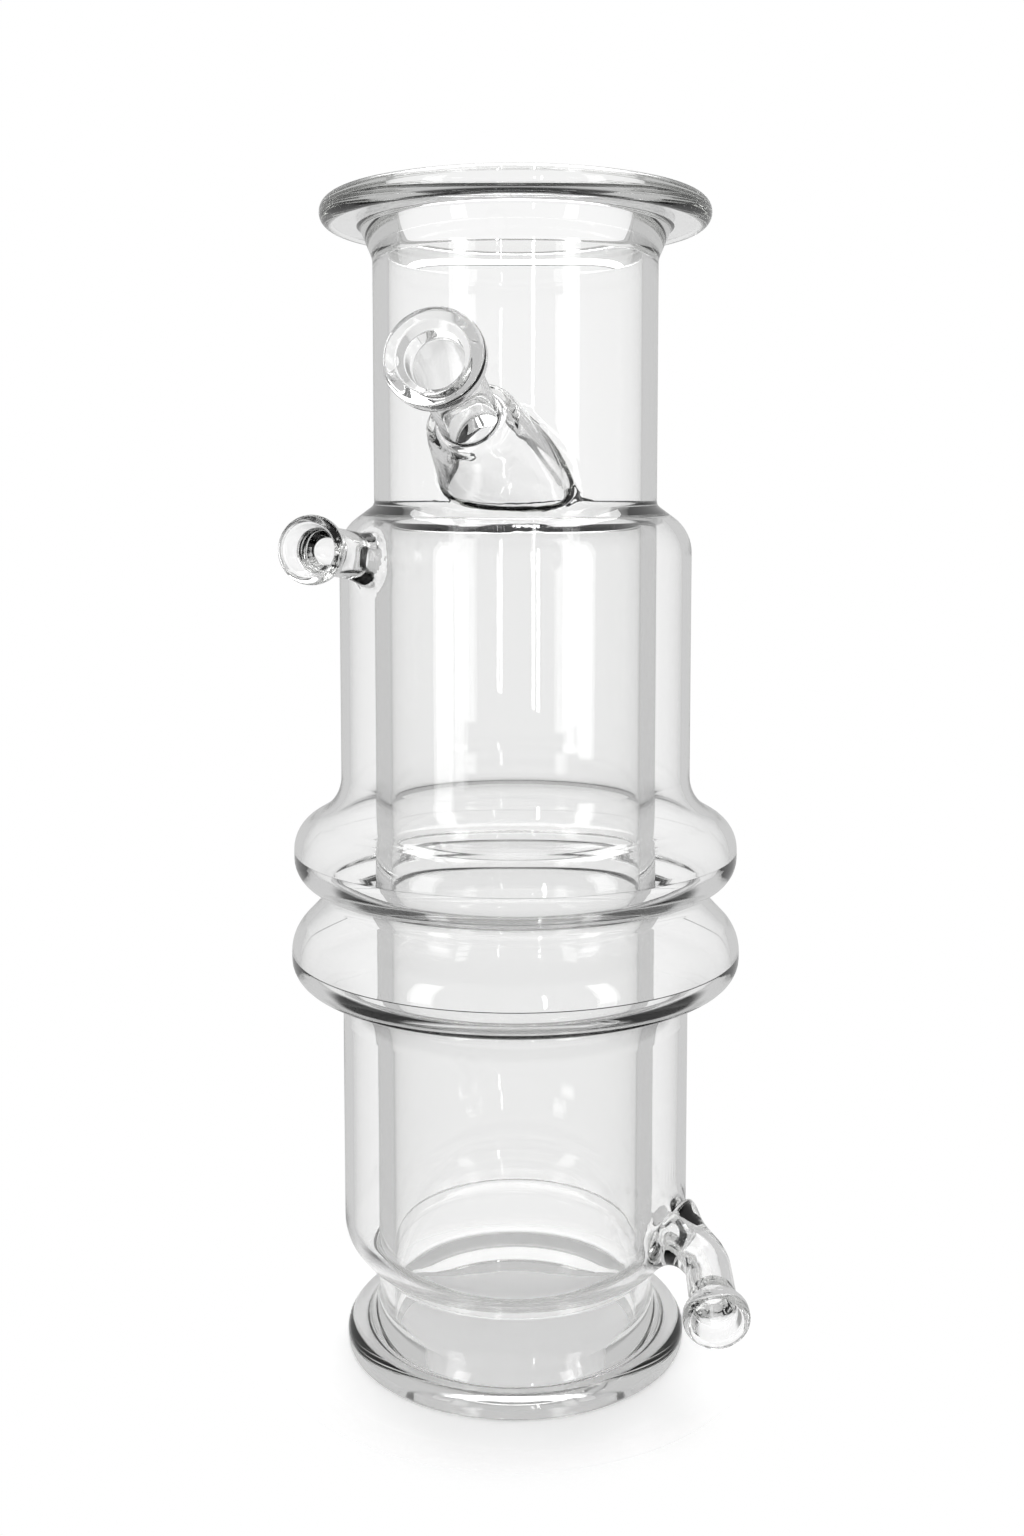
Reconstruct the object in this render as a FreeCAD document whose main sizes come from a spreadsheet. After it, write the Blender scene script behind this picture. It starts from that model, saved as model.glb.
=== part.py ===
"""Jacketed glass reactor, blown and fused as one piece of borosilicate glass.

An inner tube with a wide flat flange at each end carries a heating jacket.
The jacket is fused to the tube at both ends, has a bellows of two folds in
its wall, and is fed through two short bent ports. An inclined feed nozzle
opens into the tube above the jacket.

Frame: the origin is the centre of the lower flange's flat face, +Z points up
the vessel's axis and -Y is the front, where the nozzle and ports face.
Lengths are millimetres and angles degrees.
"""

import FreeCAD, Part

import math
import os

import Sketcher
from FreeCAD import Vector

NODE = "reactor_vessel"

# Driving dimensions: name, value, meaning.
SIZES = [
    # Inner tube and its end flanges
    ("vessel_height", 458.0, "from the lower flange's face to the upper one's"),
    ("bore_radius", 50.0, "inside of the tube, open at both ends"),
    ("tube_wall", 6.0, "thickness of the tube"),
    ("bore_edge_rounding", 1.5, "fire-polished edge of the bore at the upper face"),
    ("top_flange_reach", 15.5, "rim of the upper flange beyond its neck"),
    ("top_flange_thickness", 10.3, "face to underside"),
    ("top_rim_face_rounding", 5.0, "rim to face"),
    ("top_rim_back_rounding", 4.9, "rim to underside"),
    ("top_collar_flare", 5.0, "how far the upper flange's neck widens from the tube"),
    ("top_collar_length", 12.0, "length of that conical neck"),
    ("base_flange_reach", 8.0, "rim of the lower flange beyond its neck"),
    ("base_flange_thickness", 9.0, "face to upper side"),
    ("base_rim_face_rounding", 1.8, "rim to face"),
    ("base_rim_back_rounding", 5.2, "rim to upper side"),
    ("base_collar_flare", 5.0, "how far the lower flange's neck widens from the tube"),
    ("base_collar_length", 8.5, "length of that conical neck"),
    ("collar_rounding", 2.0, "inner corner between flange and neck"),
    ("neck_rounding", 8.0, "where a neck runs into the tube"),
    # Jacket
    ("jacket_gap", 13.8, "skin of the tube to skin of the jacket's plain stretches"),
    ("jacket_wall", 3.7, "thickness of the jacket"),
    ("jacket_start", 33.3, "height of the lower seal on the tube"),
    ("jacket_length", 307.0, "lower seal to upper seal"),
    ("lower_shoulder_drop", 11.5, "height of the jacket's sloping lower end"),
    ("upper_shoulder_drop", 10.2, "height of the jacket's sloping upper end"),
    ("shoulder_rounding", 17.0, "outer corner of those ends"),
    ("seal_rounding", 3.0, "inner corners where jacket and tube are fused"),
    ("space_end_rounding", 1.8, "closed ends of the space between jacket and tube"),
    # Bellows, from the bottom upwards
    ("bellows_start", 113.4, "above the lower seal"),
    ("lower_flare_height", 6.4, "slope below the lower fold"),
    ("lower_fold_height", 16.2, "straight height of the lower fold"),
    ("lower_waist_height", 18.0, "slope above the lower fold"),
    ("upper_waist_height", 4.6, "slope below the upper fold"),
    ("upper_fold_height", 20.0, "straight height of the upper fold"),
    ("upper_flare_height", 10.9, "slope above the upper fold"),
    ("lower_fold_reach", 20.2, "lower fold beyond the plain jacket"),
    ("upper_fold_reach", 18.9, "upper fold beyond the plain jacket"),
    ("waist_reach", 2.9, "waist between the folds beyond the plain jacket"),
    ("lower_flare_rounding", 15.0, "plain jacket to lower slope"),
    ("lower_fold_base_rounding", 10.0, "lower corner of the lower fold"),
    ("lower_fold_top_rounding", 16.0, "upper corner of the lower fold"),
    ("waist_rounding", 2.7, "inner corner between the folds"),
    ("upper_fold_base_rounding", 12.0, "lower corner of the upper fold"),
    ("upper_fold_top_rounding", 13.6, "upper corner of the upper fold"),
    ("upper_flare_rounding", 17.0, "upper slope to plain jacket"),
    # Feed nozzle, inclined, above the jacket
    ("feed_around", -6.1, "place of its foot around the vessel, from the front"),
    ("feed_above_jacket", 9.9, "height of its foot above the upper seal"),
    ("feed_heading", -18.2, "compass direction of its boss, from the front"),
    ("feed_rise", 31.7, "slope of its boss above the level"),
    ("feed_roll", -69.7, "turn of the plane in which its neck bends"),
    ("feed_depth", 16.0, "how far the boss is carried in from the tube's skin"),
    ("feed_boss_length", 36.0, "foot to shoulder"),
    ("feed_boss_foot_radius", 20.5, "boss at its foot"),
    ("feed_boss_radius", 16.4, "boss at its shoulder"),
    ("feed_shoulder_rounding", 3.2, "outer edge of the shoulder"),
    ("feed_throat_rounding", 2.2, "inner corner between shoulder and neck"),
    ("feed_cavity_radius", 10.4, "inside of the boss"),
    ("feed_cavity_rounding", 3.0, "closed end of the boss's inside"),
    ("feed_shoulder_wall", 4.0, "glass between that end and the shoulder"),
    ("feed_run", 53.9, "foot to the start of the bend"),
    ("feed_bend", 19.5, "angle of the bend"),
    ("feed_bend_radius", 30.0, "centre line of the bend"),
    ("feed_tail", 5.6, "end of the bend to the back of the cup"),
    ("feed_neck_radius", 10.9, "outside of the neck"),
    ("feed_neck_bore", 8.0, "inside of the neck"),
    ("feed_cup_radius", 17.0, "rim of the cup"),
    ("feed_cup_length", 13.0, "back of the cup to its face"),
    ("feed_cup_rim", 5.0, "thickness of the cup's rim"),
    ("feed_cup_mouth", 12.2, "mouth radius"),
    ("feed_cup_floor", 10.0, "radius at the bottom of the cup"),
    ("feed_cup_depth", 10.5, "face to the bottom of the cup"),
    # Jacket ports, alike but for their places
    ("port_depth", 7.0, "how far a port is carried in from the jacket's skin"),
    ("port_foot_rounding", 8.0, "flare to neck"),
    ("port_neck_radius", 8.9, "outside of the neck"),
    ("port_neck_bore", 4.8, "inside of the neck"),
    ("port_cup_radius", 12.4, "rim of the cup"),
    ("port_cup_length", 13.0, "back of the cup to its face"),
    ("port_cup_rim", 4.0, "thickness of the cup's rim"),
    ("port_cup_mouth", 9.3, "mouth radius"),
    ("port_cup_floor", 6.8, "radius at the bottom of the cup"),
    ("port_cup_depth", 16.5, "face to the bottom of the cup"),
    # Cups in general
    ("cup_rounding", 1.9, "edges of a cup's rim"),
    ("cup_back_rounding", 4.0, "inner corner between neck and cup"),
    ("cup_floor_rounding", 4.5, "bottom of a cup's inside"),
    ("cup_lip_rounding", 1.0, "inner edge of a cup's mouth"),
    # Upper jacket port, on the left
    ("upper_around", -52.5, "place of its foot around the vessel, from the front"),
    ("upper_below_seal", 20.1, "height of its foot below the upper seal"),
    ("upper_foot_radius", 11.5, "flared foot where it starts"),
    ("upper_foot_length", 6.0, "length of the flare outside the jacket"),
    ("upper_heading", -52.5, "compass direction of its foot, from the front"),
    ("upper_rise", 12.0, "slope of its foot above the level"),
    ("upper_roll", -10.3, "turn of the plane in which it bends"),
    ("upper_run", 6.9, "foot to the start of the bend"),
    ("upper_bend", 38.4, "angle of the bend"),
    ("upper_bend_radius", 19.4, "centre line of the bend"),
    ("upper_tail", 5.6, "end of the bend to the back of the cup"),
    # Lower jacket port, on the right
    ("lower_around", 61.0, "place of its foot around the vessel, from the front"),
    ("lower_above_seal", 24.4, "height of its foot above the lower seal"),
    ("lower_foot_radius", 21.0, "flared foot where it starts"),
    ("lower_foot_length", 8.0, "length of the flare outside the jacket"),
    ("lower_heading", 61.0, "compass direction of its foot, from the front"),
    ("lower_rise", -27.0, "slope of its foot above the level"),
    ("lower_roll", 174.8, "turn of the plane in which it bends"),
    ("lower_run", 9.0, "foot to the start of the bend"),
    ("lower_bend", 60.7, "angle of the bend"),
    ("lower_bend_radius", 12.0, "centre line of the bend"),
    ("lower_tail", 18.8, "end of the bend to the back of the cup"),
]

# Radii that follow from the driving dimensions: each is the sum of the names after it.
SUMS = {
    "tube_radius": ("bore_radius", "tube_wall"),
    "jacket_radius": ("tube_radius", "jacket_gap"),
    "top_collar_radius": ("tube_radius", "top_collar_flare"),
    "top_flange_radius": ("top_collar_radius", "top_flange_reach"),
    "base_collar_radius": ("tube_radius", "base_collar_flare"),
    "base_flange_radius": ("base_collar_radius", "base_flange_reach"),
}

AXIS_OF_PROFILE = "H_Axis"
AXIS_OF_VESSEL = "V_Axis"


def size(name):
    """Expression for a value in the sheet or for a sum of such values."""
    if name in SUMS:
        return "(" + " + ".join(size(part) for part in SUMS[name]) + ")"
    return f"Sizes.{name}"


def make_sheet(doc):
    """Spreadsheet that holds the driving dimensions under their names."""
    sheet = doc.addObject("Spreadsheet::Sheet", "Sizes")
    for row, (name, value, meaning) in enumerate(SIZES, start=1):
        sheet.set(f"A{row}", name)
        sheet.set(f"B{row}", str(value))
        sheet.set(f"C{row}", meaning)
        sheet.setAlias(f"B{row}", name)
    doc.recompute()
    return sheet


def origin_plane(body, role):
    """One of a body's own origin planes."""
    return next(feature for feature in body.Origin.OriginFeatures if feature.Role == role)


def new_sketch(body, name, role="XY_Plane", placement=None):
    """Sketch on an origin plane, moved from it by a placement expression."""
    sketch = body.newObject("Sketcher::SketchObject", name)
    sketch.AttachmentSupport = [(origin_plane(body, role), "")]
    sketch.MapMode = "FlatFace"
    if placement:
        sketch.setExpression("AttachmentOffset", placement)
    body.Document.recompute()
    return sketch


def bind(sketch, kind, geometry, expression):
    """Dimensional constraint whose value follows an expression."""
    value = float(sketch.evalExpression(expression))
    number = sketch.addConstraint(Sketcher.Constraint(kind, *geometry, value))
    sketch.setExpression(f"Constraints[{number}]", expression)


def place_point(sketch, geometry, across, up):
    """Fix a point by its distances from the sketch's origin."""
    origin = (-1, 1)
    for kind, expression, axis in (("DistanceX", across, -2), ("DistanceY", up, -1)):
        if expression == "0":
            sketch.addConstraint(Sketcher.Constraint("PointOnObject", *geometry, axis))
        else:
            bind(sketch, kind, (*origin, *geometry), expression)


def unit(vector):
    """The same direction at length one."""
    return vector / vector.Length


def tangent_length(before, corner, after, radius):
    """Distance from a corner to where its rounding starts."""
    turn = unit(corner - before).getAngle(unit(after - corner))
    return radius * math.tan(turn / 2.0)


def left_arc(centre, start, end):
    """Arc that turns left from one point to another."""
    angles = [math.atan2(place.y - centre.y, place.x - centre.x) for place in (start, end)]
    if angles[1] < angles[0]:
        angles[1] += 2.0 * math.pi
    return Part.ArcOfCircle(Part.Circle(centre, Vector(0, 0, 1), (start - centre).Length), *angles)


def draw_rounded(sketch, points, radii):
    """Closed outline of straight lines and tangent arcs, drawn where it belongs.

    Returns the lines' and the arcs' geometry numbers, an arc for each corner
    that has a radius.
    """
    count = len(points)
    cuts = []
    for index, corner in enumerate(points):
        before, after = points[index - 1], points[(index + 1) % count]
        radius = radii[index]
        if not radius:
            cuts.append((corner, corner))
            continue
        reach = tangent_length(before, corner, after, radius)
        cuts.append((corner + unit(before - corner) * reach, corner + unit(after - corner) * reach))
    lines = []
    for index in range(count):
        start, end = cuts[index][1], cuts[(index + 1) % count][0]
        if (end - start).dot(points[(index + 1) % count] - points[index]) <= 0:
            raise ValueError(f"{sketch.Name}: two roundings meet on side {index + 1}")
        lines.append(sketch.addGeometry(Part.LineSegment(start, end), False))
    arcs = {}
    for index, (start, end) in enumerate(cuts):
        if not radii[index]:
            sketch.addConstraint(Sketcher.Constraint("Coincident", lines[index - 1], 2, lines[index], 1))
            continue
        before, after = points[index - 1], points[(index + 1) % count]
        inward = unit(unit(before - points[index]) + unit(after - points[index]))
        half_turn = unit(points[index] - before).getAngle(unit(after - points[index])) / 2.0
        centre = points[index] + inward * (radii[index] / math.cos(half_turn))
        turns_left = (points[index] - before).cross(after - points[index]).z > 0
        first, last = (1, 2) if turns_left else (2, 1)
        ends = (start, end) if turns_left else (end, start)
        arcs[index] = sketch.addGeometry(left_arc(centre, *ends), False)
        sketch.addConstraint(Sketcher.Constraint("Tangent", lines[index - 1], 2, arcs[index], first))
        sketch.addConstraint(Sketcher.Constraint("Tangent", arcs[index], last, lines[index], 1))
    return lines, arcs


def outline(sketch, corners):
    """Closed outline from corners, each with two places and perhaps a rounding."""
    points = []
    radii = []
    for across, up, rounding in corners:
        places = [float(sketch.evalExpression(expression)) for expression in (across, up)]
        points.append(Vector(places[0], places[1], 0))
        radii.append(float(sketch.evalExpression(rounding)) if rounding else 0.0)
    lines, arcs = draw_rounded(sketch, points, radii)
    for index, (across, up, rounding) in enumerate(corners):
        if index not in arcs:
            place_point(sketch, (lines[index], 1), across, up)
            continue
        corner = sketch.addGeometry(Part.Point(points[index]), True)
        place_point(sketch, (corner, 1), across, up)
        sketch.addConstraint(Sketcher.Constraint("PointOnObject", corner, 1, lines[index - 1]))
        sketch.addConstraint(Sketcher.Constraint("PointOnObject", corner, 1, lines[index]))
        bind(sketch, "Radius", (arcs[index],), rounding)
    return lines


def bellows_corners():
    """The bellows' outline from the bottom up, as corners of the outer skin."""
    jacket = size("jacket_radius")
    height = f"{size('jacket_start')} + {size('bellows_start')}"
    steps = [
        (jacket, None, "lower_flare_rounding"),
        (f"{jacket} + {size('lower_fold_reach')}", "lower_flare_height",
         "lower_fold_base_rounding"),
        (f"{jacket} + {size('lower_fold_reach')}", "lower_fold_height",
         "lower_fold_top_rounding"),
        (f"{jacket} + {size('waist_reach')}", "lower_waist_height", "waist_rounding"),
        (f"{jacket} + {size('upper_fold_reach')}", "upper_waist_height", "upper_fold_base_rounding"),
        (f"{jacket} + {size('upper_fold_reach')}", "upper_fold_height", "upper_fold_top_rounding"),
        (jacket, "upper_flare_height", "upper_flare_rounding"),
    ]
    corners = []
    for across, step, rounding in steps:
        if step:
            height = f"{height} + {size(step)}"
        corners.append((across, height, size(rounding)))
    return corners


def jacket_corners():
    """The jacket's outer skin, from the lower seal to the upper one."""
    start = size("jacket_start")
    end = f"{start} + {size('jacket_length')}"
    tube, jacket = size("tube_radius"), size("jacket_radius")
    return [
        (tube, start, size("seal_rounding")),
        (jacket, f"{start} + {size('lower_shoulder_drop')}", size("shoulder_rounding")),
        *bellows_corners(),
        (jacket, f"{end} - {size('upper_shoulder_drop')}", size("shoulder_rounding")),
        (tube, end, size("seal_rounding")),
    ]


def vessel_corners():
    """The whole outer skin with both flanges, closed along the vessel's axis."""
    top = size("vessel_height")
    base_side, top_side = size("base_flange_thickness"), f"{top} - {size('top_flange_thickness')}"
    collar, neck = size("collar_rounding"), size("neck_rounding")
    return [
        ("0", "0", None),
        (size("base_flange_radius"), "0", size("base_rim_face_rounding")),
        (size("base_flange_radius"), base_side, size("base_rim_back_rounding")),
        (size("base_collar_radius"), base_side, collar),
        (size("tube_radius"), f"{base_side} + {size('base_collar_length')}", neck),
        *jacket_corners(),
        (size("tube_radius"), f"{top_side} - {size('top_collar_length')}", neck),
        (size("top_collar_radius"), top_side, collar),
        (size("top_flange_radius"), top_side, size("top_rim_back_rounding")),
        (size("top_flange_radius"), top, size("top_rim_face_rounding")),
        ("0", top, None),
    ]


def revolve(body, name, sketch, axis, kind="PartDesign::Revolution"):
    """Turn a sketch once round one of its axes, adding or cutting glass."""
    feature = body.newObject(kind, name)
    feature.Profile = sketch
    feature.ReferenceAxis = (sketch, [axis])
    feature.Angle = 360.0
    body.Document.recompute()
    return feature


def cut(body, name, sketch, axis):
    """Turn a sketch round an axis and take the glass away, checked by volume."""
    before = body.Shape.Volume
    feature = revolve(body, name, sketch, axis, "PartDesign::Groove")
    if body.Shape.Volume >= before:
        raise RuntimeError(f"{name} cuts nothing")
    return feature


def add_outer_skin(body):
    """Solid blank with the outer form of tube, flanges and jacket."""
    sketch = new_sketch(body, "outer_skin", "XZ_Plane")
    outline(sketch, vessel_corners())
    revolve(body, "blank", sketch, AXIS_OF_VESSEL)
    return sketch


def add_bore(body):
    """Straight bore through the tube, its upper edge fire-polished."""
    top = size("vessel_height")
    sketch = new_sketch(body, "bore_outline", "XZ_Plane")
    outline(sketch, [("0", "0", None), (size("bore_radius"), "0", None),
                     (size("bore_radius"), top, None), ("0", top, None)])
    groove = cut(body, "bore", sketch, AXIS_OF_VESSEL)
    radius = float(sketch.evalExpression(size("bore_radius")))
    height = float(sketch.evalExpression(top))
    names = []
    for number, edge in enumerate(groove.Shape.Edges, start=1):
        curve = edge.Curve
        round_edge = isinstance(curve, Part.Circle) and abs(curve.Radius - radius) < 1e-6
        if round_edge and (curve.Center - Vector(0, 0, height)).Length < 1e-6:
            names.append(f"Edge{number}")
    polish = body.newObject("PartDesign::Fillet", "bore_edge")
    polish.Base = (groove, names)
    polish.setExpression("Radius", size("bore_edge_rounding"))
    body.Document.recompute()


def offset_corner(before, corner, after, distance):
    """Corner between two lines moved to their right by a distance."""
    first, second = unit(corner - before), unit(after - corner)
    normals = [Vector(-side.y, side.x, 0) for side in (first, second)]
    bisector = unit(normals[0] + normals[1])
    return corner + bisector * (distance / bisector.dot(normals[0]))


def straight_edge(sketch, start, end):
    """Name of a sketch's straight edge that lies between two of its corners."""
    inverse = sketch.Placement.inverse()
    for number, edge in enumerate(sketch.Shape.Edges, start=1):
        places = [inverse.multVec(vertex.Point) for vertex in edge.Vertexes]
        detours = [(place - start).Length + (place - end).Length - (end - start).Length for place in places]
        if isinstance(edge.Curve, Part.Line) and max(detours) < 1e-6:
            return f"Edge{number}"
    raise RuntimeError("the outer skin has no such edge")


def add_jacket_space(body, skin):
    """Hollow between jacket and tube, a wall's thickness inside the skin."""
    sketch = new_sketch(body, "jacket_space_outline", "XZ_Plane")
    corners = jacket_corners()
    wall = float(sketch.evalExpression(size("jacket_wall")))
    tube = float(sketch.evalExpression(size("tube_radius")))
    points = [Vector(*(float(sketch.evalExpression(text)) for text in corner[:2]), 0) for corner in corners]
    inner = [offset_corner(points[index - 1], points[index], points[index + 1], wall)
             for index in range(1, len(points) - 1)]
    ends = []
    for near, far, corner in ((inner[0], points[0], points[1]), (inner[-1], points[-1], points[-2])):
        slope = unit(far - corner)
        ends.append(near + slope * ((tube - near.x) / slope.x))
    inner = [ends[0], *inner, ends[1]]
    signs = []
    for index in range(1, len(points) - 1):
        turn = (points[index] - points[index - 1]).cross(points[index + 1] - points[index]).z
        signs.append("-" if turn > 0 else "+")
    roundings = [size("space_end_rounding")]
    roundings += [f"{corner[2]} {sign} {size('jacket_wall')}" for corner, sign in zip(corners[1:-1], signs)]
    roundings.append(size("space_end_rounding"))
    radii = [float(sketch.evalExpression(text)) for text in roundings]
    lines, arcs = draw_rounded(sketch, inner, radii)
    for index, rounding in enumerate(roundings):
        bind(sketch, "Radius", (arcs[index],), rounding)
    for index, line in enumerate(lines[:-1]):
        sketch.addExternal(skin.Name, straight_edge(skin, points[index], points[index + 1]))
        outer = -3 - index
        sketch.addConstraint(Sketcher.Constraint("Parallel", line, outer))
        bind(sketch, "Distance", (line, 1, outer), size("jacket_wall"))
    closing = lines[-1]
    sketch.addConstraint(Sketcher.Constraint("Vertical", closing))
    bind(sketch, "DistanceX", (-1, 1, closing, 1), size("tube_radius"))
    cut(body, "jacket_space", sketch, AXIS_OF_VESSEL)


class Port:
    """A bent branch with a cup at its end, described by names in the sheet."""

    def __init__(self, body, name, sizes, skin, height):
        self.body = body
        self.name = name
        self.sizes = sizes
        around, heading = f"{size(name + '_around')} - 90", f"{size(name + '_heading')} - 90"
        foot = f"vector({size(skin)} * cos({around}); {size(skin)} * sin({around}); {height})"
        turned = f"rotation({heading}; -{size(name + '_rise')}; {size(name + '_roll')})"
        inset = f"placement(vector(-{self.shared('depth')}; 0; 0); rotation(0; 0; 0))"
        self.root = f"placement({foot}; {turned}) * {inset}"
        run = f"({size(name + '_run')} + {self.shared('depth')})"
        bend, radius = size(name + "_bend"), size(name + "_bend_radius")
        tail = size(name + "_tail")
        along = f"{run} + {radius} * sin({bend}) + {tail} * cos({bend})"
        aside = f"{radius} * (1 - cos({bend})) + {tail} * sin({bend})"
        tip = f"placement(vector({along}; {aside}; 0); rotation({bend}; 0; 0))"
        self.tip = f"{self.root} * {tip}"

    def shared(self, name):
        """Expression for a size that ports of this kind have in common."""
        return size(f"{self.sizes}_{name}")

    def spine(self):
        """Centre line: a straight run, a bend and a straight tail."""
        sketch = new_sketch(self.body, f"{self.name}_spine", placement=self.root)
        run = f"{size(self.name + '_run')} + {self.shared('depth')}"
        bend = float(sketch.evalExpression(size(self.name + "_bend")))
        radius = float(sketch.evalExpression(size(self.name + "_bend_radius")))
        tail = float(sketch.evalExpression(size(self.name + "_tail")))
        start = Vector(float(sketch.evalExpression(run)), 0, 0)
        centre = start + Vector(0, radius, 0)
        ahead = Vector(math.cos(math.radians(bend)), math.sin(math.radians(bend)), 0)
        end = centre + Vector(ahead.y, -ahead.x, 0) * radius
        line = sketch.addGeometry(Part.LineSegment(Vector(0, 0, 0), start), False)
        arc = sketch.addGeometry(left_arc(centre, start, end), False)
        last = sketch.addGeometry(Part.LineSegment(end, end + ahead * tail), False)
        sketch.addConstraint(Sketcher.Constraint("Coincident", line, 1, -1, 1))
        sketch.addConstraint(Sketcher.Constraint("Horizontal", line))
        sketch.addConstraint(Sketcher.Constraint("Tangent", line, 2, arc, 1))
        sketch.addConstraint(Sketcher.Constraint("Tangent", arc, 2, last, 1))
        bind(sketch, "DistanceX", (line, 1, line, 2), run)
        bind(sketch, "Radius", (arc,), size(self.name + "_bend_radius"))
        bind(sketch, "Distance", (last,), size(self.name + "_tail"))
        bind(sketch, "Angle", (-1, last), f"{size(self.name + '_bend')} * 1 deg")
        self.body.Document.recompute()
        return sketch

    def sweep(self, name, radius, kind):
        """Round pipe along the centre line."""
        spine = self.spine() if kind == "PartDesign::AdditivePipe" else self.line
        self.line = spine
        across = f"{self.root} * placement(vector(0; 0; 0); rotation(0; 90; 0))"
        profile = new_sketch(self.body, f"{name}_section", placement=across)
        value = float(profile.evalExpression(radius))
        circle = profile.addGeometry(Part.Circle(Vector(0, 0, 0), Vector(0, 0, 1), value), False)
        profile.addConstraint(Sketcher.Constraint("Coincident", circle, 3, -1, 1))
        bind(profile, "Radius", (circle,), radius)
        pipe = self.body.newObject(kind, name)
        pipe.Profile = profile
        pipe.Spine = (spine, ["Edge1", "Edge2", "Edge3"])
        self.body.Document.recompute()
        return pipe

    def add_neck(self):
        """The neck's glass, solid for now."""
        self.sweep(f"{self.name}_neck", self.shared("neck_radius"), "PartDesign::AdditivePipe")

    def add_cup(self):
        """The cup's outer form at the neck's end."""
        sketch = new_sketch(self.body, f"{self.name}_cup_outline", placement=self.tip)
        neck, rim = self.shared("neck_radius"), self.shared("cup_radius")
        length = self.shared("cup_length")
        start = f"-{size('cup_back_rounding')}"
        back = f"{length} - {self.shared('cup_rim')}"
        outline(sketch, [
            (start, "0", None),
            (start, neck, None),
            (f"{back} - ({rim} - {neck})", neck, size("cup_back_rounding")),
            (back, rim, size("cup_rounding")),
            (length, rim, size("cup_rounding")),
            (length, "0", None),
        ])
        revolve(self.body, f"{self.name}_cup", sketch, AXIS_OF_PROFILE)

    def open_cup(self):
        """The cup's hollow, with a rounded bottom and lip."""
        sketch = new_sketch(self.body, f"{self.name}_cup_hollow_outline", placement=self.tip)
        face = self.shared("cup_length")
        mouth, floor = self.shared("cup_mouth"), self.shared("cup_floor")
        bottom = f"{face} - {self.shared('cup_depth')}"
        lip = size("cup_lip_rounding")
        outline(sketch, [
            (bottom, "0", None),
            (bottom, floor, size("cup_floor_rounding")),
            (f"{face} - {lip}", mouth, None),
            (face, f"{mouth} + {lip}", None),
            (face, "0", None),
        ])
        cut(self.body, f"{self.name}_cup_hollow", sketch, AXIS_OF_PROFILE)

    def open_neck(self):
        """The neck's bore, from the cup into the glass behind the foot."""
        self.sweep(f"{self.name}_neck_bore", self.shared("neck_bore"), "PartDesign::SubtractivePipe")


class JacketPort(Port):
    """Port that opens into the jacket through a flared foot."""

    def add_foot(self):
        """Flare of glass where the port is fused to the jacket."""
        sketch = new_sketch(self.body, f"{self.name}_foot_outline", placement=self.root)
        flare = f"{self.shared('depth')} + {size(self.name + '_foot_length')}"
        end = f"{flare} + {self.shared('foot_rounding')} * 0.5"
        outline(sketch, [
            ("0", "0", None),
            ("0", size(self.name + "_foot_radius"), None),
            (flare, self.shared("neck_radius"), self.shared("foot_rounding")),
            (end, self.shared("neck_radius"), None),
            (end, "0", None),
        ])
        revolve(self.body, f"{self.name}_foot", sketch, AXIS_OF_PROFILE)


class FeedNozzle(Port):
    """Nozzle that opens into the tube through a wide hollow boss."""

    def add_boss(self):
        """Tapered boss with a rounded shoulder, solid for now."""
        sketch = new_sketch(self.body, f"{self.name}_boss_outline", placement=self.root)
        end = f"{self.shared('depth')} + {self.shared('boss_length')}"
        neck = self.shared("neck_radius")
        outline(sketch, [
            ("0", "0", None),
            ("0", self.shared("boss_foot_radius"), None),
            (end, self.shared("boss_radius"), self.shared("shoulder_rounding")),
            (end, neck, self.shared("throat_rounding")),
            (f"{end} + {self.shared('boss_radius')} - {neck}", neck, None),
            (f"{end} + {self.shared('boss_radius')} - {neck}", "0", None),
        ])
        revolve(self.body, f"{self.name}_boss", sketch, AXIS_OF_PROFILE)

    def open_boss(self):
        """Hollow of the boss, through the tube's wall."""
        sketch = new_sketch(self.body, f"{self.name}_cavity_outline", placement=self.root)
        end = f"{self.shared('depth')} + {self.shared('boss_length')} - {self.shared('shoulder_wall')}"
        cavity = self.shared("cavity_radius")
        outline(sketch, [
            ("0", "0", None),
            ("0", cavity, None),
            (end, cavity, self.shared("cavity_rounding")),
            (end, "0", None),
        ])
        cut(self.body, f"{self.name}_cavity", sketch, AXIS_OF_PROFILE)


def build(doc):
    """The vessel: outer glass first, then every hollow."""
    make_sheet(doc)
    body = doc.addObject("PartDesign::Body", NODE)
    body.Label = NODE
    upper_seal = f"{size('jacket_start')} + {size('jacket_length')}"
    feed = FeedNozzle(body, "feed", "feed", "tube_radius", f"{upper_seal} + {size('feed_above_jacket')}")
    upper = JacketPort(body, "upper", "port", "jacket_radius", f"{upper_seal} - {size('upper_below_seal')}")
    lower = JacketPort(body, "lower", "port", "jacket_radius",
                       f"{size('jacket_start')} + {size('lower_above_seal')}")
    skin = add_outer_skin(body)
    feed.add_boss()
    for port in (upper, lower):
        port.add_foot()
    for port in (feed, upper, lower):
        port.add_neck()
        port.add_cup()
    add_bore(body)
    add_jacket_space(body, skin)
    feed.open_boss()
    for port in (feed, upper, lower):
        port.open_neck()
        port.open_cup()
    return body


def check(doc, body):
    """Stop if any object failed or the glass isn't one valid solid."""
    for item in doc.Objects:
        if "Invalid" in item.State or "Error" in item.State:
            raise RuntimeError(f"{item.Label} failed: {item.State}")
    shape = body.Shape
    if shape.isNull() or not shape.isValid() or len(shape.Solids) != 1:
        raise RuntimeError(f"{body.Label} isn't one valid solid")


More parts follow.
